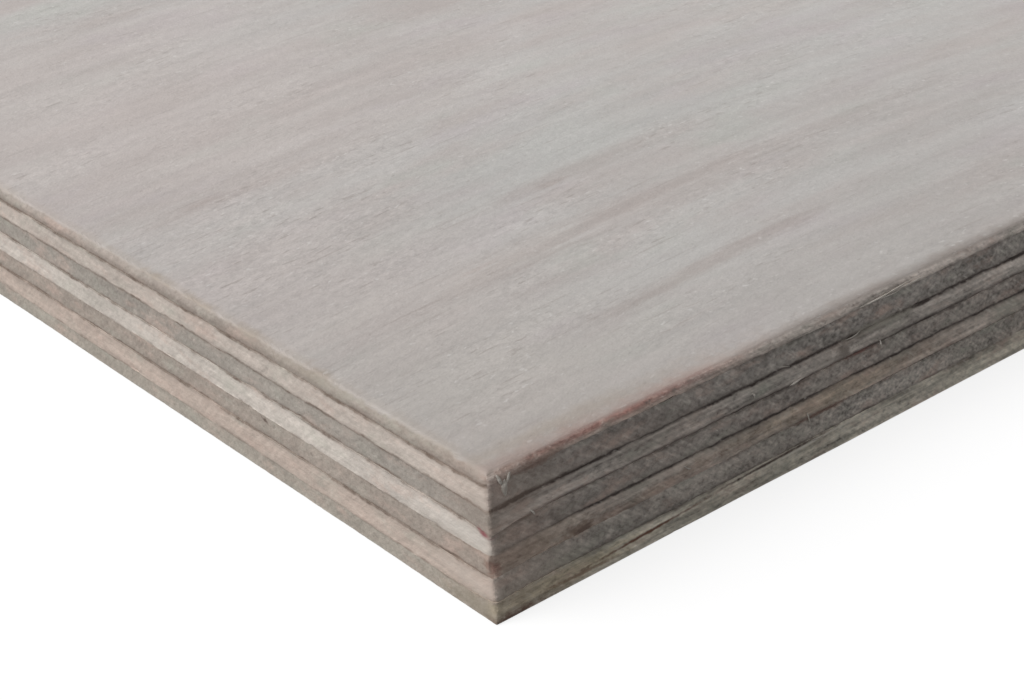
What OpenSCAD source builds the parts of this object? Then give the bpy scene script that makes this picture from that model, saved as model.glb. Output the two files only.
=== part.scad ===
// Plywood sheet.
// Seven wood veneers are glued face to face under pressure, with the grain of each one
// square to its neighbours, and the board is then trimmed square and its face is sanded.
// The sheet lies flat with its back down. The origin is the middle of its back face,
// +X runs along the grain of the face and +Z up through the thickness.

/* [Sheet] */
// Length of the sheet, along the grain of its face
sheet_length = 2440; // [600:10:3050]
// Width of the sheet, across the grain of its face
sheet_width = 1220; // [300:10:1525]

/* [Veneers] */
// Thickness of the face veneer, which sanding leaves the thinnest
face_thickness = 1.5; // [1:0.1:4]
// Thickness of the crossband under the face veneer
upper_crossband_thickness = 2.9; // [1:0.1:4]
// Thickness of the long-grain veneer above the centre
upper_core_thickness = 2.5; // [1:0.1:4]
// Thickness of the crossband at the centre of the board
centre_crossband_thickness = 2.9; // [1:0.1:4]
// Thickness of the long-grain veneer below the centre
lower_core_thickness = 2.7; // [1:0.1:4]
// Thickness of the crossband over the back veneer
lower_crossband_thickness = 2.9; // [1:0.1:4]
// Thickness of the back veneer
back_thickness = 2.6; // [1:0.1:4]

/* [Edges] */
// Radius of the arris round the face, eased by the sander
arris_radius = 0.8; // [0.2:0.1:0.9]

/* [Hidden] */
$fn = 64;

// Heights of the glue lines above the back, from the lowest up
glue_line_1 = back_thickness;
glue_line_2 = glue_line_1 + lower_crossband_thickness;
glue_line_3 = glue_line_2 + lower_core_thickness;
glue_line_4 = glue_line_3 + centre_crossband_thickness;
glue_line_5 = glue_line_4 + upper_core_thickness;
glue_line_6 = glue_line_5 + upper_crossband_thickness;

// Wood as each veneer shows it
face_colour = [0.72, 0.69, 0.66];
crossband_colour = [0.79, 0.73, 0.67];
core_colour = [0.62, 0.58, 0.54];
back_colour = [0.64, 0.60, 0.55];

// A flat veneer, trimmed to the sheet, with its underside at the given height
module veneer(underside, thickness) {
    translate([-sheet_length / 2, -sheet_width / 2, underside])
        cube([sheet_length, sheet_width, thickness]);
}

// What sanding takes off one upper arris, drawn to the right of the arris's centre
module sanded_off(radius) {
    difference() {
        square(2 * radius);
        circle(r = radius);
    }
}

// Section across a veneer of the given width whose two upper arrises are rounded
module eased_section(width, thickness, radius) {
    difference() {
        translate([-width / 2, 0]) square([width, thickness]);
        for (side = [0, 1])
            mirror([side, 0])
                translate([width / 2 - radius, thickness - radius]) sanded_off(radius);
    }
}

// A veneer whose upper arris is eased all round: the two sections, crossed
module eased_veneer(underside, thickness, radius) {
    translate([0, 0, underside])
        intersection() {
            rotate([90, 0, 90])
                linear_extrude(height = sheet_length, center = true)
                    eased_section(sheet_width, thickness, radius);
            rotate([90, 0, 0])
                linear_extrude(height = sheet_width, center = true)
                    eased_section(sheet_length, thickness, radius);
        }
}

module back_veneer() {
    color(back_colour) veneer(0, back_thickness);
}

module lower_crossband() {
    color(crossband_colour) veneer(glue_line_1, lower_crossband_thickness);
}

module lower_core() {
    color(core_colour) veneer(glue_line_2, lower_core_thickness);
}

module centre_crossband() {
    color(crossband_colour) veneer(glue_line_3, centre_crossband_thickness);
}

module upper_core() {
    color(core_colour) veneer(glue_line_4, upper_core_thickness);
}

module upper_crossband() {
    color(crossband_colour) veneer(glue_line_5, upper_crossband_thickness);
}

module face_veneer() {
    color(face_colour) eased_veneer(glue_line_6, face_thickness, arris_radius);
}

back_veneer();
lower_crossband();
lower_core();
centre_crossband();
upper_core();
upper_crossband();
face_veneer();
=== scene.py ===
import math

import bmesh
import bpy
from mathutils import Matrix, Vector


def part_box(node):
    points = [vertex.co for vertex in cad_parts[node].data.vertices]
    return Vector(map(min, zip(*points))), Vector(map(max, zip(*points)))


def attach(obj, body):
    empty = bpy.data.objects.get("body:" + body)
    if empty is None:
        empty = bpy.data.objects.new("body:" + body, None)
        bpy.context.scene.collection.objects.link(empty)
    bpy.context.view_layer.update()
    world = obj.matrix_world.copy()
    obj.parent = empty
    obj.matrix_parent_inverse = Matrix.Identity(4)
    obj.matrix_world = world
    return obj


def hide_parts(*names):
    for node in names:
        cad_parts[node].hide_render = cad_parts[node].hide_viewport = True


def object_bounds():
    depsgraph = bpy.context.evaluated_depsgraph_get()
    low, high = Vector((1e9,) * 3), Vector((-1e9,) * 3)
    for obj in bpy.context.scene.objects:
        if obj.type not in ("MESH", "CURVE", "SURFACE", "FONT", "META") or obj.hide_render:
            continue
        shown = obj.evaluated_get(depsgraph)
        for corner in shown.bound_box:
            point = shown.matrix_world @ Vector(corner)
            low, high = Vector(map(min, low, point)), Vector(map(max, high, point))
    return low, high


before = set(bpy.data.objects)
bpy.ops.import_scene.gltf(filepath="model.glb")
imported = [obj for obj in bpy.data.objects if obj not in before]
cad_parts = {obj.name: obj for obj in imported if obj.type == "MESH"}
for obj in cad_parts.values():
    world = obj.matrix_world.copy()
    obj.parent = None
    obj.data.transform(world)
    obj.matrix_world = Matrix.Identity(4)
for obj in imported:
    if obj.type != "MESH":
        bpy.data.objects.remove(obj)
cad_low, cad_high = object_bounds()


# Back veneer: the lowest ply, a rotary-cut sheet of pale hardwood with its grain along the sheet.
# It goes into the press first, and the saw that trims the glued board leaves its edge fuzzy,
# with the glue lines waving a little up and down along the edge.

MM = 0.001
# The front left corner of the sheet, on the floor, and the sheet's length and width (mm).
FRONT_LEFT = Vector((cad_low.x, cad_low.y, 0))
LENGTH = (cad_high.x - cad_low.x) / MM
WIDTH = (cad_high.y - cad_low.y) / MM
PLIES = (
    "back_veneer",
    "lower_crossband",
    "lower_core",
    "centre_crossband",
    "upper_core",
    "upper_crossband",
    "face_veneer",
)
OUTSIDES = (0, len(PLIES))
# How far each glue line, from the back up, lies off its mean height at the ends of the sheet and
# along its long edges (mm), because the veneers are not of even thickness.
GLUE_LINE_AT_ENDS = (0.0, -0.38, -0.24, -0.15, -0.20, 0.10, -0.12, 0.0)
GLUE_LINE_AT_LONG_EDGES = (0.0, 0.32, 0.35, 0.40, 0.18, 0.27, 0.38, 0.0)
# How far each glue line dips right at the front left corner (mm).
CORNER_DIP = (0.0, 0.0, 0.0, 0.0, 0.35, 0.2, 0.0, 0.0)
# How far the front of each veneer, from the back up, is hollowed right at that corner (mm).
CORNER_HOLLOW = (0.0, 0.0, 0.45, 0.0, 0.0, 0.0, 0.0)
# How dark each glue line shows at the ends of the sheet and along its long edges. On the long
# edges all lines but one fade out over the last stretch before a corner (mm).
GLUE_ON_ENDS = (0.0, 0.16, 0.55, 0.04, 0.42, 0.50, 0.62, 0.0)
GLUE_ON_LONG_EDGES = (0.0, 0.30, 0.06, 1.00, 0.48, 0.95, 0.18, 0.0)
GLUE_FADE = 13.0
UNFADED_LINE = 5
# The edge is cut finely near the corners: reach from the corner and number of parts in two passes.
FINE_REACH = 45 * MM
MEDIUM_REACH = 130 * MM
FINE_PARTS = (12, 15)
MEDIUM_PARTS = (10, 17)
COARSE_PARTS = (20, 11)
EDGE_ROWS = 9
RIM = 1.5 * MM
ARRIS_SEGMENTS = 5
CREASE_ANGLE = math.radians(50)
# What counts as level when mesh edges are picked (m).
LEVEL = 1e-7
# How deep the relief works into the sawn wall, and how far from a corner the steps between
# veneers come to their full size (mm).
WALL_DEPTH = 0.9
STEP_FADE = 5.0
SAWN_SHEEN = 0.25
# How far the noise moves for each seed, so that no two clouds are alike.
SEED_STEP = (3.17, 5.71, 2.39)


class Shade:
    """One socket of a node tree, so that shader maths reads as arithmetic."""

    def __init__(self, tree, socket=None):
        self.tree = tree
        self.socket = socket

    def node(self, kind, settings=None, inputs=None, output=0):
        """Adds a node, makes its settings first, then gives its sockets their values or links."""
        made = self.tree.nodes.new(kind)
        for name, value in (settings or {}).items():
            setattr(made, name, value)
        for name, value in (inputs or {}).items():
            if isinstance(value, Shade):
                self.tree.links.new(value.socket, made.inputs[name])
            else:
                made.inputs[name].default_value = value
        return Shade(self.tree, made.outputs[output] if made.outputs else None)

    def math(self, operation, other=0.0, first=None):
        sockets = {0: self, 1: other} if first is None else {0: first, 1: self}
        return self.node("ShaderNodeMath", {"operation": operation}, sockets)

    def __add__(self, other):
        return self.math("ADD", other)

    def __radd__(self, other):
        return self.math("ADD", other)

    def __sub__(self, other):
        return self.math("SUBTRACT", other)

    def __rsub__(self, other):
        return self.math("SUBTRACT", first=other)

    def __mul__(self, other):
        return self.math("MULTIPLY", other)

    def __rmul__(self, other):
        return self.math("MULTIPLY", other)

    def __truediv__(self, other):
        return self.math("DIVIDE", other)

    def __neg__(self):
        return self.math("SUBTRACT", first=0.0)

    def least(self, other):
        return self.math("MINIMUM", other)

    def most(self, other):
        return self.math("MAXIMUM", other)

    def between(self, low, high):
        """Rises smoothly from 0 at low to 1 at high."""
        return self.node(
            "ShaderNodeMapRange",
            {"interpolation_type": "SMOOTHSTEP"},
            {"Value": self, "From Min": low, "From Max": high},
        )

    def vector(self, operation, other, third=(0.0, 0.0, 0.0), output=0):
        sockets = {0: self, 1: other}
        if operation == "MULTIPLY_ADD":
            sockets[2] = third
        return self.node("ShaderNodeVectorMath", {"operation": operation}, sockets, output)

    def scaled(self, amount):
        """A colour or vector made larger or smaller all round."""
        return self.node("ShaderNodeVectorMath", {"operation": "SCALE"}, {0: self, "Scale": amount})

    def axes(self):
        return [self.node("ShaderNodeSeparateXYZ", None, {0: self}, axis) for axis in range(3)]

    def blend(self, first, second):
        """The first colour where this mask is 0, the second where it is 1."""
        settings = {"data_type": "RGBA", "clamp_factor": True}
        return self.node("ShaderNodeMix", settings, {0: self, 6: first, 7: second}, 2)

    def mixed(self, other, mask):
        """This colour, turned into the other where the mask is 1."""
        return mask.blend(self, other)

    def cloud(self, sizes, seed, detail=2.0, roughness=0.5):
        """Soft noise about zero, from about -0.3 to 0.3, with lumps of the given sizes."""
        stretch = [1 / size for size in sizes]
        shift = [seed * step for step in SEED_STEP]
        place = self.vector("MULTIPLY_ADD", stretch, shift)
        sockets = {"Vector": place, "Scale": 1.0, "Detail": detail, "Roughness": roughness}
        return self.node("ShaderNodeTexNoise", None, sockets) - 0.5

    def turned(self, angle, axis):
        """These places, turned about one axis."""
        turn = [0.0, 0.0, 0.0]
        turn[axis] = math.radians(angle)
        return self.node("ShaderNodeMapping", None, {"Vector": self, "Rotation": turn})

    def patch(self, centre, radii, ragged, tilt=0.0):
        """1 in the middle of a soft ragged patch, 0 outside it. It may rise along its edge."""
        away = self.vector("SUBTRACT", centre)
        if tilt:
            away = away.turned(-tilt, 0) if centre[0] == 0 else away.turned(tilt, 1)
        reach = away.vector("DIVIDE", radii).vector("LENGTH", (0.0, 0.0, 0.0), output=1)
        return 1 - (reach + ragged).between(0.15, 1.15)

    def on_sheet(self):
        """These places in mm from the front left corner of the sheet."""
        return self.vector("SUBTRACT", FRONT_LEFT).scaled(1 / MM)


def pick(piece, kind, wanted):
    """Selects the edges or faces that are wanted, and nothing else."""
    bpy.ops.mesh.select_mode(type=kind)
    bpy.ops.mesh.select_all(action="DESELECT")
    mesh = bmesh.from_edit_mesh(piece.data)
    for part in mesh.edges if kind == "EDGE" else mesh.faces:
        if wanted(part):
            part.select_set(True)
    bmesh.update_edit_mesh(piece.data)


def rise(edge):
    return abs(edge.verts[0].co.z - edge.verts[1].co.z)


def lies_at(edge, height):
    return all(abs(vertex.co.z - height) < LEVEL for vertex in edge.verts)


def runs_along_edge(edge, high):
    """Whether a mesh edge lies level on the rim or the wall, in the direction of the sheet's edge."""
    run = edge.verts[1].co - edge.verts[0].co
    inside = 1.2 * RIM
    along_length = abs(run.y) < LEVEL and abs(edge.verts[0].co.y) > high.y - inside
    along_width = abs(run.x) < LEVEL and abs(edge.verts[0].co.x) > high.x - inside
    return abs(run.z) < LEVEL and (along_length or along_width)


def from_corner(edge, high):
    """How far the middle of a level edge lies from the nearest corner, along its own direction."""
    run = edge.verts[1].co - edge.verts[0].co
    axis = 0 if abs(run.x) > abs(run.y) else 1
    middle = (edge.verts[0].co + edge.verts[1].co) / 2
    return high[axis] - abs(middle[axis])


def saw_veneer(name, ply, arris=0.0):
    """A veneer at its place in the sheet, closed, with its edge cut into rows and columns."""
    low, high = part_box(ply)
    bpy.ops.object.select_all(action="DESELECT")
    bpy.ops.mesh.primitive_cube_add(size=1.0, location=(low + high) / 2, scale=high - low)
    veneer = bpy.context.object
    veneer.name = name
    veneer.data.name = name
    bpy.ops.object.transform_apply(location=True, rotation=False, scale=True)
    bpy.ops.object.mode_set(mode="EDIT")
    if arris:
        pick(veneer, "EDGE", lambda edge: lies_at(edge, high.z))
        bpy.ops.mesh.bevel(offset=arris, segments=ARRIS_SEGMENTS, affect="EDGES")
    pick(veneer, "FACE", lambda face: abs(face.normal.z) > 0.99)
    bpy.ops.mesh.inset(thickness=RIM, use_individual=True)
    bpy.ops.mesh.delete(type="FACE")
    wall = high.z - low.z - arris
    pick(veneer, "EDGE", lambda edge: rise(edge) > 0.9 * wall)
    bpy.ops.mesh.subdivide(number_cuts=max(2, round(EDGE_ROWS * wall / (high.z - low.z))))
    for axis in (0, 1):
        for reach in (FINE_REACH, MEDIUM_REACH):
            for side in (1, -1):
                cut = Vector()
                cut[axis] = side * (high[axis] - reach)
                across = Vector()
                across[axis] = 1
                bpy.ops.mesh.select_all(action="SELECT")
                bpy.ops.mesh.bisect(plane_co=cut, plane_no=across)
    stretches = (
        (0, FINE_REACH, FINE_PARTS),
        (FINE_REACH, MEDIUM_REACH, MEDIUM_PARTS),
        (MEDIUM_REACH, 2 * high.x, COARSE_PARTS),
    )
    for start, end, passes in stretches:
        for parts in passes:
            pick(
                veneer,
                "EDGE",
                lambda edge: runs_along_edge(edge, high) and start < from_corner(edge, high) < end,
            )
            bpy.ops.mesh.subdivide(number_cuts=parts - 1)
    for height in (low.z, high.z):
        pick(veneer, "EDGE", lambda edge: edge.is_boundary and lies_at(edge, height))
        bpy.ops.mesh.edge_face_add()
    bpy.ops.mesh.select_all(action="SELECT")
    bpy.ops.mesh.normals_make_consistent(inside=False)
    bpy.ops.object.mode_set(mode="OBJECT")
    return veneer


def from_edges(x, y):
    """How far a place lies from the nearer end and the nearer long edge of the sheet (mm)."""
    return x.least(LENGTH - x), y.least(WIDTH - y)


def roughen_edge(veneer, ply, along_x, end_proud, front_proud, tear):
    """Works the sawn edge of a veneer: waving glue lines, steps, torn grain and grooves."""
    low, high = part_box(ply)
    level = PLIES.index(ply)
    tree = bpy.data.node_groups.new(veneer.name + "_edge", "GeometryNodeTree")
    for way in ("INPUT", "OUTPUT"):
        tree.interface.new_socket("Geometry", in_out=way, socket_type="NodeSocketGeometry")
    sawn = Shade(tree).node("NodeGroupInput")
    spot = sawn.node("GeometryNodeInputPosition").on_sheet()
    x, y, z = spot.axes()
    thickness = (high.z - low.z) / MM
    even = (z - low.z / MM) / thickness
    through = even if ply == "face_veneer" else 0.5 - 0.5 * (even * math.pi).math("COSINE")
    from_end, from_long_edge = from_edges(x, y)
    on_left = 1 - x.between(0.0, WALL_DEPTH)
    on_right = 1 - (LENGTH - x).between(0.0, WALL_DEPTH)
    on_front = 1 - y.between(0.0, WALL_DEPTH)
    on_rear = 1 - (WIDTH - y).between(0.0, WALL_DEPTH)
    at_edge = 1 - from_end.least(from_long_edge).between(WALL_DEPTH, WALL_DEPTH + 0.1)
    along = (from_end - from_long_edge).between(-8.0, 8.0)
    flat = spot.vector("MULTIPLY", (1.0, 1.0, 0.0))

    def wave(line):
        """How far a glue line strays from its mean height, the same for both veneers there."""
        if line in OUTSIDES:
            return 0.0
        drift = 0.30 * flat.cloud((110, 110, 1), line) + 0.08 * flat.cloud((8, 8, 1), line + 20)
        ragged = 0.30 * flat.cloud((1.3, 1.3, 1), line + 40, 3.0, 0.65)
        shift = (1 - along) * GLUE_LINE_AT_ENDS[line] + along * GLUE_LINE_AT_LONG_EDGES[line]
        dip = CORNER_DIP[line] * (1 - (x + y).between(0.0, 4.0))
        return drift + ragged + shift - dip

    def across(values):
        """A value that goes from one at the lower glue line of this veneer to one at its upper."""
        return (1 - through) * values[level] + through * values[level + 1]

    lift = (1 - through) * wave(level) + through * wave(level + 1) + (through - even) * thickness
    grain = (9.0, 0.9, 0.9) if along_x else (0.9, 9.0, 0.9)
    fuzz = tear * spot.cloud(grain, level + 60, 3.0, 0.65)
    wander = 0.25 * flat.cloud((90, 90, 1), 80)
    step = 0.25 * spot.cloud((30, 30, 8), level + 90)
    from_glue = through.least(1 - through) * thickness
    on_ends = 0.05 * (1 - along) * across(GLUE_ON_ENDS)
    on_long_edges = 0.13 * along * across(GLUE_ON_LONG_EDGES) * from_end.between(0.0, GLUE_FADE)
    broken = 1 + 1.6 * spot.cloud((3, 3, 3), level + 100)
    groove = (on_ends + on_long_edges) * (1 - from_glue.between(0.0, 0.22)) * broken
    torn = 1.6 * tear * spot.cloud((5.0, 5.0, 1.6), level + 110, 3.0).between(0.13, 0.30)
    rounding = (0.50 + 1.2 * spot.cloud((9, 9, 5), 120)).most(0.15)
    corner_radius = rounding * (0.2 + 0.8 * z.between(0.0, 2.0))
    at_corner = (1 - (from_end + from_long_edge) / corner_radius).most(0.0)
    worn = 0.29 * corner_radius * at_corner * at_corner
    out = fuzz + wander + step - groove - torn - worn
    hollow = 4 * CORNER_HOLLOW[level] * through * (1 - through) * (1 - x.between(0.0, 2.6))
    end_step = end_proud * from_long_edge.between(0.0, STEP_FADE)
    front_step = front_proud * from_end.between(0.0, STEP_FADE)
    push_x = (on_right - on_left) * out - on_left * end_step
    push_y = (on_rear - on_front) * out + on_front * (hollow - front_step)
    push = sawn.node("ShaderNodeCombineXYZ", None, {0: push_x, 1: push_y, 2: lift * at_edge})
    marked = sawn.node(
        "GeometryNodeStoreNamedAttribute",
        {"data_type": "FLOAT", "domain": "POINT"},
        {"Geometry": sawn, "Name": "through", "Value": through},
    )
    sockets = {"Geometry": marked, "Offset": push.scaled(MM)}
    worked = sawn.node("GeometryNodeSetPosition", None, sockets)
    sawn.node("NodeGroupOutput", None, {0: worked})
    bpy.ops.object.select_all(action="DESELECT")
    bpy.context.view_layer.objects.active = veneer
    veneer.select_set(True)
    change = veneer.modifiers.new("sawn_edge", "NODES")
    change.node_group = tree
    bpy.ops.object.modifier_apply(modifier=change.name)
    bpy.data.node_groups.remove(tree)
    bpy.ops.object.shade_smooth_by_angle(angle=CREASE_ANGLE)


def late_wood(laid, seed):
    """Bands of darker late wood, 0 to 1, as the peeling knife lays them over a whole veneer."""
    across = laid.axes()[1]
    hills = laid.cloud((1300, 260, 1), seed, 1.0)
    streak = laid.cloud((28, 2.4, 1), seed + 2, 3.0)
    fine = laid.cloud((6, 0.8, 1), seed + 3, 3.0, 0.65)
    return (across / 42 + 8 * hills + 0.5 * streak + 0.2 * fine).math("FRACT").between(0.3, 1.0)


PINK_STAIN = (0.58, 0.43, 0.365, 1)
GREEN_STAIN = (0.42, 0.415, 0.355, 1)
BACK_LATE_WOOD = (0.40, 0.325, 0.26, 1)
PORE = (0.16, 0.135, 0.115, 1)
PIT = (0.075, 0.06, 0.052, 1)
GLUE_IN_LIGHT = (0.165, 0.125, 0.10, 1)
GLUE_IN_SHADE = (0.055, 0.042, 0.037, 1)
SOAKED_WOOD = (0.20, 0.16, 0.135, 1)
LOOSE_HAIR = (0.66, 0.62, 0.57, 1)
CORNER_TAN = (0.33, 0.245, 0.195, 1)


def sawn_wood(bare, ply, along_x, long_grain, end_grain, tints, marks):
    """Colour, roughness and relief of a sawn edge: fibrous long grain, speckled end grain and glue.

    Tints lie under the glue lines and marks over them. Each is a centre and radii in mm,
    a tilt in degrees, a colour and a strength.
    """
    low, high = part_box(ply)
    level = PLIES.index(ply)
    spot = bare.node("ShaderNodeTexCoord", output="Object").on_sheet()
    x, y = spot.axes()[:2]
    from_end, from_long_edge = from_edges(x, y)
    at_edge = 1 - from_end.least(from_long_edge).between(1.2, 2.0)
    on_long_edges = (from_end - from_long_edge).between(-0.1, 0.1) * at_edge
    on_ends = at_edge - on_long_edges
    end = on_ends if along_x else on_long_edges

    def grain(length, width, seed, roughness):
        """Noise drawn out along the grain of this veneer."""
        sizes = (length, width, width) if along_x else (width, length, width)
        return spot.cloud(sizes, level * 7 + seed, 2.0, roughness)

    streak = grain(30.0, 0.9, 1, 0.55)
    fibre = grain(4.0, 0.5, 2, 0.6)
    mottle = spot.cloud((1.3, 1.3, 0.9), level * 9 + 3, 4.0, 0.75)
    shade = spot.cloud((11.0, 11.0, 2.2), level * 9 + 4)
    fuzz_front = spot.turned(-38, 1).cloud((2.0, 0.5, 0.38), level * 9 + 5)
    fuzz_end = spot.turned(38, 0).cloud((0.5, 2.2, 0.45), level * 9 + 6)
    fuzz = (1 - on_long_edges) * fuzz_end + on_long_edges * fuzz_front
    tint = spot.cloud((8.0, 8.0, 3.0), level * 9 + 7, 4.0, 0.7)
    dash = spot.cloud((6.0, 6.0, 6.0), level * 9 + 8, 3.0, 0.65)
    speck = spot.cloud((0.6, 0.6, 0.42), level * 9 + 9, 1.0)
    speck = speck * from_end.between(22.0, 52.0) * on_long_edges
    colour = end.blend(long_grain, end_grain)
    if ply == "back_veneer":
        colour = colour.mixed(BACK_LATE_WOOD, 0.6 * late_wood(spot, 402) * (1 - at_edge))
    ragged = 1.6 * mottle + 0.9 * dash
    for centre, radii, tilt, stain, strength in tints:
        colour = colour.mixed(stain, strength * spot.patch(centre, radii, ragged, tilt))
    contrast = 0.95 + 1.40 * on_long_edges
    streaky = (at_edge - end) * on_long_edges
    colour = colour.scaled(
        1
        + contrast * (0.30 + 0.40 * streaky) * streak
        + contrast * (0.32 + 0.25 * streaky) * fibre
        + contrast * (0.66 - 0.12 * streaky) * mottle
        + contrast * 0.50 * shade
        + (1.4 - 0.9 * streaky) * speck
    )
    stained = 0.45 + 0.20 * on_long_edges
    colour = colour.mixed(PINK_STAIN, stained * tint.between(0.0, 0.24))
    colour = colour.mixed(GREEN_STAIN, stained * (-tint).between(0.0, 0.24))
    colour = colour.mixed(PORE, 0.28 * ((-fibre).between(0.08, 0.24) * end))
    colour = colour.mixed(PIT, 0.60 * ((-mottle).between(0.08, 0.30) * on_long_edges))
    through = bare.node("ShaderNodeAttribute", {"attribute_name": "through"}, output="Fac")
    thickness = (high.z - low.z) / MM
    glue_colour = on_long_edges.blend(GLUE_IN_LIGHT, GLUE_IN_SHADE)
    for line, from_line in ((level, through), (level + 1, 1 - through)):
        if line in OUTSIDES:
            continue
        reach = (1.35 - 0.25 * on_long_edges) * thickness * from_line - 0.70 * dash - 0.60 * mottle
        faded = 1.0 if line == UNFADED_LINE else from_end.between(0.0, GLUE_FADE)
        strength = GLUE_ON_ENDS[line] * on_ends + GLUE_ON_LONG_EDGES[line] * faded * on_long_edges
        soaked = (1 - (from_line * thickness - 1.2 * mottle).between(0.0, 1.1)) * strength
        colour = colour.mixed(SOAKED_WOOD, 0.30 * soaked)
        broken = strength + (2.2 + 0.8 * on_ends) * dash + 0.8 * mottle
        colour = colour.mixed(glue_colour, (1 - reach.between(0.04, 0.48)) * broken)
    colour = colour.scaled(1 + contrast * (0.46 - 0.12 * streaky) * fuzz)
    hairs = fuzz.between(0.10, 0.30) + mottle.between(0.12, 0.34) * on_long_edges
    furry = 0.20 + 0.20 * from_end.between(20.0, 50.0)
    colour = colour.mixed(LOOSE_HAIR, (0.12 + furry * on_long_edges) * hairs)
    near_corner = 1 - (x + y + 12 * tint).between(1.0, 14.0)
    colour = colour.mixed(CORNER_TAN, near_corner * (0.20 * on_ends + 0.36 * on_long_edges))
    for centre, radii, tilt, stain, strength in marks:
        colour = colour.mixed(stain, strength * spot.patch(centre, radii, ragged, tilt))
    height = (1 + on_long_edges) * (0.05 * fibre + 0.11 * mottle)
    dent = bare.node("ShaderNodeBump", None, {"Height": height, "Distance": MM, "Strength": 1.0})
    return colour, 0.80 + 0.3 * fibre, dent


def new_finish(name):
    """A new material, and a start for its nodes."""
    material = bpy.data.materials.new(name)
    material.use_nodes = True
    return material, Shade(material.node_tree)


def give_looks(material, looks, sheen):
    """Joins colour, roughness and relief to the shader of a material."""
    shader = material.node_tree.nodes["Principled BSDF"]
    for socket, look in zip(("Base Color", "Roughness", "Normal"), looks):
        material.node_tree.links.new(look.socket, shader.inputs[socket])
    shader.inputs["Specular IOR Level"].default_value = sheen


def wood_finish(name, ply, along_x, long_grain, end_grain, tints, marks):
    material, bare = new_finish(name)
    looks = sawn_wood(bare, ply, along_x, long_grain, end_grain, tints, marks)
    give_looks(material, looks, SAWN_SHEEN)
    return material


def put_in_sheet(veneer, ply, finish):
    veneer.data.materials.clear()
    veneer.data.materials.append(finish)
    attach(veneer, "root")
    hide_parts(ply)


BACK_TEAR = 0.12
back_long_grain = (0.61, 0.56, 0.475, 1)
back_end_grain = (0.365, 0.325, 0.28, 1)
back_tints = (
    ((8.0, 0.0, 1.6), (15.0, 2.0, 1.5), 0, (0.66, 0.57, 0.41, 1), 0.8),
    ((60.0, 0.0, 1.3), (14.0, 2.0, 2.2), 0, (0.72, 0.665, 0.575, 1), 0.8),
)
back_marks = (
    ((2.0, 0.0, 0.1), (5.0, 2.0, 0.8), 0, (0.14, 0.08, 0.06, 1), 0.9),
    ((22.0, 0.0, 1.75), (12.0, 2.0, 0.26), 2.6, (0.15, 0.075, 0.05, 1), 1.0),
    ((40.0, 0.0, 2.62), (12.0, 2.0, 0.26), 1.6, (0.07, 0.05, 0.042, 1), 1.0),
    ((46.0, 0.0, 2.40), (9.0, 2.0, 0.20), 1.6, (0.74, 0.69, 0.62, 1), 0.8),
    ((12.0, 0.0, 0.9), (7.0, 2.0, 0.30), -2, (0.20, 0.12, 0.08, 1), 0.7),
    ((0.0, 3.0, 1.1), (1.6, 9.0, 2.0), 0, (0.25, 0.215, 0.16, 1), 0.55),
)
back = saw_veneer("ply_7_back", "back_veneer")
roughen_edge(back, "back_veneer", True, 0.0, 0.0, BACK_TEAR)
back_finish = wood_finish(
    "back_wood", "back_veneer", True, back_long_grain, back_end_grain, back_tints, back_marks
)
put_in_sheet(back, "back_veneer", back_finish)


# Crossbands: the three veneers whose grain runs across the sheet, so that it cannot warp.
# They are pressed between the others. At the left end they show pale long grain,
# and along the front edge dark speckled end grain.

CROSSBAND_TEAR = 0.22
# Marks that cross a glue line, so that two veneers share them.
RED_MARK = ((0.0, 1.0, 10.62), (1.2, 1.3, 0.50), 15, (0.22, 0.045, 0.06, 1), 0.85)
TORN_GRAIN = ((58.2, 0.0, 13.7), (6.4, 2.0, 0.8), 0, (0.38, 0.35, 0.30, 1), 0.80)
RED_SEAM = ((54.8, 0.0, 11.30), (2.6, 2.0, 0.28), 0, (0.17, 0.085, 0.07, 1), 0.80)
CORNER_BROWN = ((6.0, 0.0, 16.75), (4.0, 2.0, 0.60), 0, (0.19, 0.115, 0.09, 1), 0.70)
CORNER_PALE = ((1.4, 0.0, 15.9), (2.2, 1.6, 2.4), 0, (0.50, 0.385, 0.335, 1), 0.60)
BROWN_SEAM = ((48.4, 0.0, 5.85), (6.5, 2.0, 0.32), 0, (0.15, 0.085, 0.065, 1), 0.80)
# Name, veneer, how far it stands proud at the left end and at the front (mm), colours of its
# long grain and end grain, tints and marks.
crossbands = (
    ("ply_6_crossband", "lower_crossband", 0.05, -0.05, (0.49, 0.405, 0.35, 1), (0.41, 0.368, 0.33, 1),
     (((60.0, 0.0, 4.2), (14.0, 2.0, 2.4), 0, (0.50, 0.455, 0.415, 1), 0.8),),
     (BROWN_SEAM, ((0.0, 4.0, 4.0), (1.4, 8.0, 1.6), 0, (0.55, 0.485, 0.43, 1), 0.45))),
    ("ply_4_crossband", "centre_crossband", 0.03, 0.12, (0.555, 0.50, 0.45, 1), (0.36, 0.32, 0.29, 1),
     (),
     (((0.0, 4.0, 9.6), (1.4, 8.0, 1.7), 0, (0.64, 0.60, 0.55, 1), 0.45), RED_MARK, RED_SEAM)),
    ("ply_2_crossband", "upper_crossband", 0.04, 0.05, (0.515, 0.45, 0.40, 1), (0.335, 0.305, 0.28, 1),
     (((18.0, 0.0, 15.2), (17.0, 2.0, 2.4), 0, (0.29, 0.245, 0.22, 1), 0.6),),
     (CORNER_PALE, CORNER_BROWN, TORN_GRAIN)),
)
for name, ply, end_proud, front_proud, long_grain, end_grain, tints, marks in crossbands:
    crossband = saw_veneer(name, ply)
    roughen_edge(crossband, ply, False, end_proud, front_proud, CROSSBAND_TEAR)
    crossband_finish = wood_finish(name + "_wood", ply, False, long_grain, end_grain, tints, marks)
    put_in_sheet(crossband, ply, crossband_finish)


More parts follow.
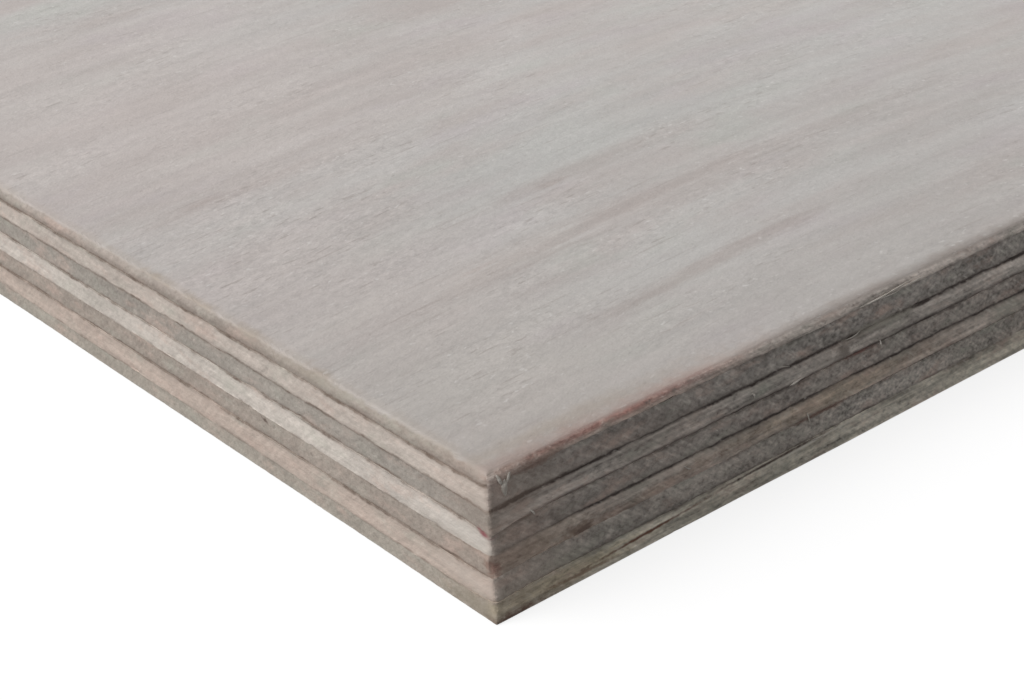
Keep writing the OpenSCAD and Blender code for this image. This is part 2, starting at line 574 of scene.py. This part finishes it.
# Cores: the two inner veneers with their grain along the sheet, glued between the crossbands.
# At the left end they show grey end grain, and along the front edge smoother long grain.

CORE_TEAR = 0.18
DARK_TEAR = ((52.3, 0.0, 12.2), (2.6, 2.0, 1.5), 50, (0.15, 0.125, 0.105, 1), 0.60)
GREY_TEAR = ((50.0, 0.0, 12.1), (6.0, 2.0, 1.5), 0, (0.27, 0.235, 0.21, 1), 0.50)
lower_core_tints = (
    ((4.0, 0.0, 7.0), (11.0, 2.0, 2.2), 0, (0.29, 0.22, 0.17, 1), 0.7),
    ((50.0, 0.0, 7.2), (24.0, 2.0, 1.9), 0, (0.53, 0.42, 0.32, 1), 0.65),
    ((20.0, 0.0, 6.3), (16.0, 2.0, 1.0), 3, (0.34, 0.26, 0.21, 1), 0.7),
)
lower_core_marks = (
    ((0.0, 42.0, 7.4), (1.2, 1.0, 0.36), 20, (0.11, 0.08, 0.065, 1), 0.9),
    ((11.6, 0.0, 6.4), (3.4, 2.0, 0.9), 8, (0.19, 0.13, 0.10, 1), 0.55),
    ((12.4, 0.0, 6.2), (1.7, 2.0, 0.4), 8, (0.10, 0.065, 0.052, 1), 0.60),
    ((0.3, 0.0, 6.6), (1.2, 1.6, 1.3), 0, (0.24, 0.13, 0.105, 1), 0.7),
    BROWN_SEAM,
)
upper_core_tints = (
    ((24.0, 0.0, 12.4), (10.0, 2.0, 1.7), 0, (0.43, 0.37, 0.33, 1), 0.7),
    ((59.0, 0.0, 12.4), (9.0, 2.0, 1.9), 0, (0.42, 0.37, 0.335, 1), 0.8),
)
upper_core_marks = (
    ((0.0, 1.0, 12.2), (1.6, 7.0, 2.0), 0, (0.24, 0.20, 0.17, 1), 0.45),
    RED_MARK,
    GREY_TEAR,
    DARK_TEAR,
    RED_SEAM,
    TORN_GRAIN,
)
cores = (
    ("ply_5_core", "lower_core", -0.02, -0.10, (0.50, 0.435, 0.385, 1), (0.345, 0.295, 0.255, 1),
     lower_core_tints, lower_core_marks),
    ("ply_3_core", "upper_core", -0.05, 0.0, (0.55, 0.495, 0.45, 1), (0.34, 0.305, 0.27, 1),
     upper_core_tints, upper_core_marks),
)
for name, ply, end_proud, front_proud, long_grain, end_grain, tints, marks in cores:
    core = saw_veneer(name, ply)
    roughen_edge(core, ply, True, end_proud, front_proud, CORE_TEAR)
    core_finish = wood_finish(name + "_wood", ply, True, long_grain, end_grain, tints, marks)
    put_in_sheet(core, ply, core_finish)


# Face veneer: the top ply, rotary cut, with its grain along the sheet. It is sanded after pressing,
# which leaves it the thinnest and eases the arris all round. Its sawn edge turns into the sanded
# face round that arris.

ARRIS = 0.8 * MM
FACE_TEAR = 0.08
FACE_END_PROUD = -0.03
FACE_SHEEN = 0.4
# The height of the face over the floor (mm), then the colours of the sanded wood and its marks.
FACE_TOP = 18.0
PALE_GREY = (0.466, 0.451, 0.434, 1)
PALE_BROWN = (0.446, 0.402, 0.382, 1)
MAUVE = (0.458, 0.412, 0.415, 1)
GREENISH = (0.432, 0.438, 0.404, 1)
FACE_LATE_WOOD = (0.375, 0.30, 0.265, 1)
BROWN_STREAK = (0.375, 0.322, 0.30, 1)
YELLOWED_RIM = (0.36, 0.30, 0.25, 1)
RUBBED_AND_SHADED_RIM = (0.37, 0.305, 0.265, 1)
SMUDGE = (0.33, 0.27, 0.215, 1)
SMEAR_AND_SHADE = (0.35, 0.295, 0.24, 1)
REDDENED_RIM = (0.40, 0.295, 0.26, 1)
RED_ARRIS = (0.29, 0.145, 0.125, 1)
FACE_PORE = (0.25, 0.215, 0.195, 1)
FACE_LINE = (0.27, 0.23, 0.21, 1)
PALE_FLECK = (0.68, 0.66, 0.64, 1)
DARK_FLECK = (0.24, 0.205, 0.185, 1)
# Streaks on the face: centre and radii (mm, along its bent grain) and strength.
face_streaks = (
    ((52.0, 33.5, 0.0), (62.0, 3.6, 9.0), 0.55),
    ((53.0, 14.2, 0.0), (20.0, 2.0, 9.0), 0.55),
    ((70.0, 6.9, 0.0), (11.0, 1.7, 9.0), 0.50),
    ((64.0, 48.0, 0.0), (27.0, 3.4, 9.0), 0.40),
    ((25.0, 78.4, 0.0), (28.0, 2.6, 9.0), 0.45),
    ((17.0, 79.4, 0.0), (3.6, 0.8, 9.0), 0.70),
    ((53.0, 46.4, 0.0), (3.4, 0.9, 9.0), 0.60),
    ((29.0, 35.0, 0.0), (5.0, 0.8, 9.0), 0.60),
)
# Broad stains on the face, which also paint the lamp's falloff: darker near the front left corner and
# the front edge, paler further back along the left end. Centre and radii (mm, along its bent grain),
# colour and strength.
face_stains_and_falloff = (
    ((18.0, 112.0, 0.0), (62.0, 50.0, 9.0), (0.492, 0.434, 0.412, 1), 0.60),
    ((8.0, 46.0, 0.0), (34.0, 26.0, 9.0), (0.474, 0.417, 0.396, 1), 0.58),
    ((62.0, 56.0, 0.0), (34.0, 12.0, 9.0), (0.425, 0.42, 0.40, 1), 0.60),
    ((6.0, 6.0, 0.0), (42.0, 38.0, 9.0), (0.425, 0.385, 0.355, 1), 0.60),
    ((64.0, -2.0, 0.0), (44.0, 18.0, 9.0), (0.40, 0.37, 0.35, 1), 0.60),
    ((100.0, 28.0, 0.0), (40.0, 36.0, 9.0), (0.40, 0.38, 0.365, 1), 0.30),
)
# Where the left arris is smudged (mm from the corner).
smudge_places = (30.0, 44.0, 55.7, 65.5)


def sanded_face(bare):
    """Colour, roughness and relief of the sanded face: soft figure, fine streaks, pores and specks,
    with painted shade along its edges and a painted falloff of the light.
    """
    spot = bare.node("ShaderNodeTexCoord", output="Object").on_sheet()
    x, y = spot.axes()[:2]
    from_end, from_long_edge = from_edges(x, y)
    from_edge = from_end.least(from_long_edge)
    bend = 7 * ((x - 5) / 52).math("SINE") * (1 - x.between(150, 420))
    bent = bare.node("ShaderNodeCombineXYZ", None, {0: x, 1: y - bend})
    flow = y - bend + 60 * spot.cloud((900, 170, 1), 201, 1.0)
    laid = bare.node("ShaderNodeCombineXYZ", None, {0: x, 1: flow})
    region = laid.cloud((700, 120, 1), 211, 3.0, 0.6)
    broad = laid.cloud((150, 13, 1), 203, 3.0)
    blotch = laid.cloud((24, 9, 1), 209, 3.0, 0.6)
    streak = laid.cloud((28, 2.4, 1), 204, 3.0)
    fine = laid.cloud((6, 0.8, 1), 205, 3.0, 0.65)
    grit = laid.cloud((1.4, 0.95, 1), 206, 2.0, 0.85)
    lines = laid.cloud((15, 0.8, 1), 213, 2.0).between(0.12, 0.26)
    lively = 0.70 + 0.34 * spot.patch((28.0, 58.0, FACE_TOP), (62.0, 56.0, 9.0), blotch)
    cluster = laid.cloud((17, 9, 1), 214, 2.0, 0.6).between(-0.10, 0.18)
    pores = laid.cloud((3.0, 0.65, 1), 207, 1.0).between(0.12, 0.24) * (0.15 + 0.85 * cluster)
    flecks = laid.cloud((1.2, 0.9, 1), 208, 1.0)
    hue = laid.cloud((26, 13, 1), 212, 3.0, 0.6)
    away_from_corner = (x + y).between(230, 600)
    ragged_rim = spot.cloud((2.6, 2.6, 1), 210, 3.0, 0.6)
    figure = 0.6 * broad + 0.7 * blotch + (0.5 + 0.9 * away_from_corner) * region
    colour = figure.between(-0.22, 0.22).blend(PALE_GREY, PALE_BROWN)
    colour = colour.mixed(MAUVE, 0.55 * hue.between(0.02, 0.24))
    colour = colour.mixed(GREENISH, 0.55 * (-hue).between(0.02, 0.24))
    bands = late_wood(laid, 202) * away_from_corner * (0.45 + 1.2 * region)
    colour = colour.mixed(FACE_LATE_WOOD, bands)
    for centre, radii, strength in face_streaks:
        streaked = strength * bent.patch(centre, radii, 1.6 * streak + 1.2 * fine)
        colour = colour.mixed(BROWN_STREAK, streaked)
    # Stains, and painted falloff of the light: darker near the corner, paler further back.
    for centre, radii, stain, strength in face_stains_and_falloff:
        colour = colour.mixed(stain, strength * bent.patch(centre, radii, 1.4 * blotch))
    yellowed = spot.patch((9.0, 3.0, FACE_TOP), (32.0, 2.0, 9.0), 1.2 * blotch + ragged_rim)
    colour = colour.mixed(YELLOWED_RIM, 0.55 * yellowed)
    # Rubbed dirt and painted shade: browner within about 2.6 mm of every edge, more along the long
    # edges than at the ends.
    rubbed_and_shaded = 1 - (from_edge + 3 * ragged_rim).between(0.1, 2.6)
    colour = colour.mixed(RUBBED_AND_SHADED_RIM, (0.15 + 0.45 * from_end.between(1, 4)) * rubbed_and_shaded)
    for place in smudge_places:
        smudged = spot.patch((0.3, place, FACE_TOP), (1.5, 3.6, 9.0), 2.4 * ragged_rim)
        colour = colour.mixed(SMUDGE, 0.60 * smudged)
    # Painted shade: darker within about 2 mm of the long edges, where the arris rolls over towards the
    # edge in shade, deeper away from the ends.
    rolled_arris_shade = 1 - (from_long_edge + 1.2 * ragged_rim).between(0.1, 1.8 + 0.7 * from_end.between(36, 50))
    colour = colour.scaled(1 - (0.17 + 0.19 * from_end.between(26, 48)) * rolled_arris_shade)
    reddened = (1 - (y + 4 * ragged_rim).between(0.4, 3.2)) * (1 - x.between(24, 48))
    colour = colour.mixed(REDDENED_RIM, 0.55 * reddened)
    red_line = (1 - (y + 0.8 * ragged_rim).between(0.2, 0.9)) * x.between(6, 16) * (1 - x.between(29, 37))
    colour = colour.mixed(RED_ARRIS, 0.50 * red_line)
    # Painted light falloff: the face a little darker near every edge and more so towards the long
    # edges.
    painted_light_inward = 0.03 * from_edge.between(0, 30)
    colour = colour.scaled(0.93 + painted_light_inward + 0.06 * from_long_edge.between(0, 120))
    lumpy = 0.24 * streak + 0.13 * fine - 0.17 * blotch
    colour = colour.scaled(1 + lumpy + lively * (0.30 + 0.32 * cluster) * grit)
    colour = colour.mixed(FACE_PORE, 0.50 * lively * pores)
    colour = colour.mixed(FACE_LINE, 0.36 * lines * lively)
    colour = colour.mixed(PALE_FLECK, (0.15 + 0.25 * cluster) * flecks.between(0.14, 0.28))
    colour = colour.mixed(DARK_FLECK, 0.30 * (-flecks).between(0.18, 0.32))
    dent = bare.node("ShaderNodeBump", None, {"Height": 0.10 * grit, "Distance": MM, "Strength": 1.0})
    return colour, 0.60 + 0.25 * fine, dent


def eased_edge(bare, sawn):
    """The looks of the sawn edge of the face veneer, turning into its sanded face round the arris,
    with painted shade over the arris.
    """
    edge_colour, edge_rough, edge_dent = sawn
    colour, rough, dent = sanded_face(bare)
    spot = bare.node("ShaderNodeTexCoord", output="Object").on_sheet()
    x = spot.axes()[0]
    from_end = x.least(LENGTH - x)
    at_end = 1 - from_end.between(1.0, 2.0)
    fray = spot.cloud((2.2, 2.2, 2.2), 215, 3.0, 0.6)
    upward = bare.node("ShaderNodeTexCoord", output="Normal").axes()[2]
    up = (upward + at_end * (0.13 + 0.9 * fray)).between(0.70, 0.98)
    smear = spot.cloud((9, 9, 9), 216, 4.0, 0.7)
    # A brownish smear at the ends, and painted shade: twice as strong on the sloping arris, which
    # faces the lamp, as on the flat face.
    smear_and_shade = at_end * (0.35 + 2.2 * smear) * (1 - 0.5 * upward.between(0.8, 1.0))
    colour = colour.mixed(SMEAR_AND_SHADE, smear_and_shade)
    # Painted shade: the sawn colour darkened where the arris turns up towards the lamp, little at the
    # ends and most along the long edges away from them.
    arris_shade = 0.07 + 0.06 * from_end.between(1, 4) + 0.34 * from_end.between(24, 46)
    shaded_edge = edge_colour.scaled(1 - arris_shade * upward.between(0.1, 0.7))
    facing = bare.node("ShaderNodeMix", {"data_type": "VECTOR"}, {0: up, 4: edge_dent, 5: dent}, 1)
    return shaded_edge.mixed(colour, up), (1 - up) * edge_rough + up * rough, facing


face_long_grain = (0.68, 0.60, 0.545, 1)
face_end_grain = (0.345, 0.295, 0.26, 1)
face_tints = (
    ((17.0, 0.2, 17.65), (26.0, 2.0, 0.95), 0, (0.335, 0.165, 0.138, 1), 0.92),
    ((20.0, 0.0, 16.9), (26.0, 1.8, 0.7), 0, (0.53, 0.42, 0.36, 1), 0.70),
    ((0.0, 60.0, 16.6), (2.0, 120.0, 0.85), 0, (0.25, 0.20, 0.165, 1), 0.35),
    ((0.0, 46.0, 17.5), (2.0, 10.0, 1.2), 0, (0.21, 0.18, 0.155, 1), 0.70),
    ((0.0, 12.0, 17.5), (2.0, 14.0, 0.9), 0, (0.27, 0.225, 0.19, 1), 0.60),
    ((0.0, 31.0, 17.6), (2.0, 4.0, 0.8), 0, (0.25, 0.21, 0.17, 1), 0.60),
    ((50.0, 0.0, 17.2), (26.0, 2.0, 1.0), 0, (0.74, 0.655, 0.59, 1), 0.80),
)
face_marks = (
    CORNER_PALE,
    CORNER_BROWN,
    ((0.0, 34.0, 17.5), (2.0, 18.0, 1.2), 0, (0.33, 0.285, 0.24, 1), 0.45),
)
face = saw_veneer("ply_1_face", "face_veneer", ARRIS)
roughen_edge(face, "face_veneer", True, FACE_END_PROUD, 0.0, FACE_TEAR)
edge_finish, edge_bare = new_finish("face_edge_wood")
face_sawn = sawn_wood(
    edge_bare, "face_veneer", True, face_long_grain, face_end_grain, face_tints, face_marks
)
give_looks(edge_finish, eased_edge(edge_bare, face_sawn), FACE_SHEEN)
put_in_sheet(face, "face_veneer", edge_finish)
face_finish, face_bare = new_finish("face_wood")
give_looks(face_finish, sanded_face(face_bare), FACE_SHEEN)
face.data.materials.append(face_finish)
# The one broad top (over 1 m2, level) takes the material of the sanded face alone.
for polygon in face.data.polygons:
    if polygon.area > 1.0 and polygon.normal.z > 0.99:
        polygon.material_index = 1


# Splinters: slivers of the same wood that the saw tore loose along the front edge. Each is a thin
# pale fibre, still held at one end and curving a little away from the edge.

SLIVER_SIDES = 6
SLIVER_SEGMENTS = 9
SLIVER_SWAY = 0.10
SLIVER_FLATNESS = 0.6
SLIVER_DEPTH = 0.05
SLIVER_ROUGHNESS = 0.75
DULL_FIBRE = (0.36, 0.325, 0.285, 1)
PALE_FIBRE = (0.58, 0.54, 0.49, 1)
bpy.ops.object.select_all(action="DESELECT")
bpy.ops.mesh.primitive_cone_add(
    vertices=SLIVER_SIDES,
    radius1=0.5,
    radius2=0.12,
    depth=1.0,
    rotation=(0, math.radians(90), 0),
)
sliver = bpy.context.object
sliver.name = "sliver"
bpy.ops.object.transform_apply(location=False, rotation=True, scale=False)
bpy.ops.object.mode_set(mode="EDIT")
pick(sliver, "EDGE", lambda edge: abs(edge.verts[0].co.x - edge.verts[1].co.x) > 0.9)
bpy.ops.mesh.subdivide(number_cuts=SLIVER_SEGMENTS)
bpy.ops.object.mode_set(mode="OBJECT")
bpy.ops.object.shade_smooth()
# Root and tip of each sliver on the front edge (mm along the edge from the corner, mm up),
# its thickness at the root and how far its middle stands off the edge (mm).
slivers = (
    ((54.0, 17.05), (64.8, 17.45), 0.26, 0.25),
    ((57.5, 16.75), (62.5, 17.05), 0.18, 0.20),
    ((60.5, 17.35), (66.5, 17.15), 0.16, 0.35),
    ((43.0, 11.15), (46.2, 11.60), 0.30, 0.15),
    ((37.2, 12.75), (37.9, 11.80), 0.24, 0.20),
    ((52.4, 13.55), (55.4, 14.15), 0.16, 0.20),
    ((46.4, 2.60), (52.2, 2.80), 0.22, 0.20),
    ((46.2, 6.60), (46.7, 5.05), 0.20, 0.30),
    ((58.3, 11.60), (58.8, 10.10), 0.20, 0.25),
    ((5.2, 11.90), (5.9, 10.40), 0.24, 0.20),
    ((41.5, 14.60), (43.4, 13.60), 0.16, 0.20),
    ((31.0, 10.60), (32.6, 9.60), 0.16, 0.20),
    ((26.8, 7.60), (28.2, 6.90), 0.16, 0.15),
    ((1.1, 17.40), (2.1, 16.00), 0.44, 0.22),
    ((3.1, 17.30), (2.2, 15.90), 0.38, 0.22),
    ((2.1, 16.60), (2.25, 14.40), 0.80, 0.16),
)
loose = []
for root, tip, thick, stand_off in slivers:
    splinter = sliver.copy()
    splinter.data = sliver.data.copy()
    bpy.context.collection.objects.link(splinter)
    length = math.hypot(tip[0] - root[0], tip[1] - root[1])
    slope = math.atan2(tip[1] - root[1], tip[0] - root[0])
    held = Vector((root[0], SLIVER_DEPTH, root[1]))
    for vertex in splinter.data.vertices:
        along = vertex.co.x + 0.5
        bow = math.sin(along * math.pi) * stand_off
        sway = SLIVER_SWAY * math.sin(along * 5 + root[0])
        swell = thick * (0.5 + math.sin(along * math.pi))
        out = vertex.co.y * swell * SLIVER_FLATNESS - bow
        placed = Vector((along * length, out, vertex.co.z * swell + sway))
        placed.rotate(Matrix.Rotation(-slope, 3, "Y"))
        vertex.co = FRONT_LEFT + (held + placed) * MM
    loose.append(splinter)
bpy.data.objects.remove(sliver)
bpy.ops.object.select_all(action="DESELECT")
for splinter in loose:
    splinter.select_set(True)
bpy.context.view_layer.objects.active = loose[0]
bpy.ops.object.join()
splinters = bpy.context.object
splinters.name = "splinters"
splinters.data.name = "splinters"
splinter_wood, pith = new_finish("splinter_wood")
place = pith.node("ShaderNodeTexCoord", output="Object").scaled(1 / MM)
paleness = place.cloud((2.0, 2.0, 0.4), 301, 3.0)
pale = paleness.between(-0.2, 0.2).blend(DULL_FIBRE, PALE_FIBRE)
fibrous = splinter_wood.node_tree.nodes["Principled BSDF"]
fibrous.inputs["Roughness"].default_value = SLIVER_ROUGHNESS
splinter_wood.node_tree.links.new(pale.socket, fibrous.inputs["Base Color"])
splinters.data.materials.append(splinter_wood)
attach(splinters, "root")


# Floor: a plain pale sheet of paper under the object. The camera sees it white, with the
# object's shadow, and it throws little light back up.

FLOOR_SIZE = 60
FLOOR_DROP = 0.1 * MM
FLOOR_GREY = (0.25, 0.25, 0.25, 1)
FLOOR_GLOW = 0.78
WHITE = (1, 1, 1, 1)


def seen(start):
    """1 where the camera looks, straight or by way of a mirror or glass."""
    ways = ("Is Camera Ray", "Is Glossy Ray", "Is Transmission Ray")
    rays = [start.node("ShaderNodeLightPath", output=way) for way in ways]
    return rays[0].most(rays[1]).most(rays[2])


bpy.ops.object.select_all(action="DESELECT")
bpy.ops.mesh.primitive_plane_add(size=FLOOR_SIZE, location=(0, 0, -FLOOR_DROP))
floor = bpy.context.object
floor.name = "floor"
paper, blank = new_finish("floor_paper")
paper.node_tree.nodes.clear()
lit = blank.node("ShaderNodeBsdfDiffuse", None, {"Color": FLOOR_GREY})
glow = blank.node("ShaderNodeEmission", None, {"Color": WHITE, "Strength": FLOOR_GLOW * seen(blank)})
both = blank.node("ShaderNodeAddShader", None, {0: lit, 1: glow})
blank.node("ShaderNodeOutputMaterial", None, {"Surface": both})
floor.data.materials.append(paper)


# Light: one broad soft lamp high on the left, a little behind, and a weak light from all round.
# The left end and the face are lit alike, and the front edge lies in soft shade.

LAMP_ENERGY = math.pi * 0.95
LAMP_SPREAD = math.radians(50)
LAMP_HEIGHT = math.radians(44)
LAMP_BEHIND = math.radians(14)
ROOM_LIGHT = 0.30
bpy.ops.object.light_add(type="SUN")
lamp = bpy.context.object
lamp.name = "soft_lamp"
lamp.data.energy = LAMP_ENERGY
lamp.data.angle = LAMP_SPREAD
towards_lamp = Vector((
    -math.cos(LAMP_HEIGHT) * math.cos(LAMP_BEHIND),
    math.cos(LAMP_HEIGHT) * math.sin(LAMP_BEHIND),
    math.sin(LAMP_HEIGHT),
))
lamp.rotation_euler = (-towards_lamp).to_track_quat("-Z", "Y").to_euler()
world = bpy.data.worlds.new("studio")
bpy.context.scene.world = world
world.use_nodes = True
world.node_tree.nodes.clear()
air = Shade(world.node_tree)
brightness = ROOM_LIGHT + (1 - ROOM_LIGHT) * seen(air)
sky = air.node("ShaderNodeBackground", None, {"Color": WHITE, "Strength": brightness})
air.node("ShaderNodeOutputWorld", None, {"Surface": sky})


# Camera: close over the front left corner of the sheet, looking down along the diagonal.

CAMERA_FROM_CORNER = Vector((-103.0, -138.5, 121.2)) * MM
HEADING = math.radians(-37.76)
DOWN = math.radians(27.39)
ROLL = math.radians(-3.67)
FOCAL_LENGTH = 71.1
SENSOR_WIDTH = 36
NEAREST_SEEN = 0.01
bpy.ops.object.camera_add()
camera = bpy.context.object
turn = Matrix.Rotation(HEADING, 4, "Z") @ Matrix.Rotation(math.radians(90) - DOWN, 4, "X")
camera.matrix_world = (
    Matrix.Translation(FRONT_LEFT + CAMERA_FROM_CORNER)
    @ turn
    @ Matrix.Rotation(ROLL, 4, "Z")
)
camera.data.lens = FOCAL_LENGTH
camera.data.sensor_width = SENSOR_WIDTH
camera.data.clip_start = NEAREST_SEEN
bpy.context.scene.camera = camera
bpy.context.scene.view_settings.view_transform = "Standard"
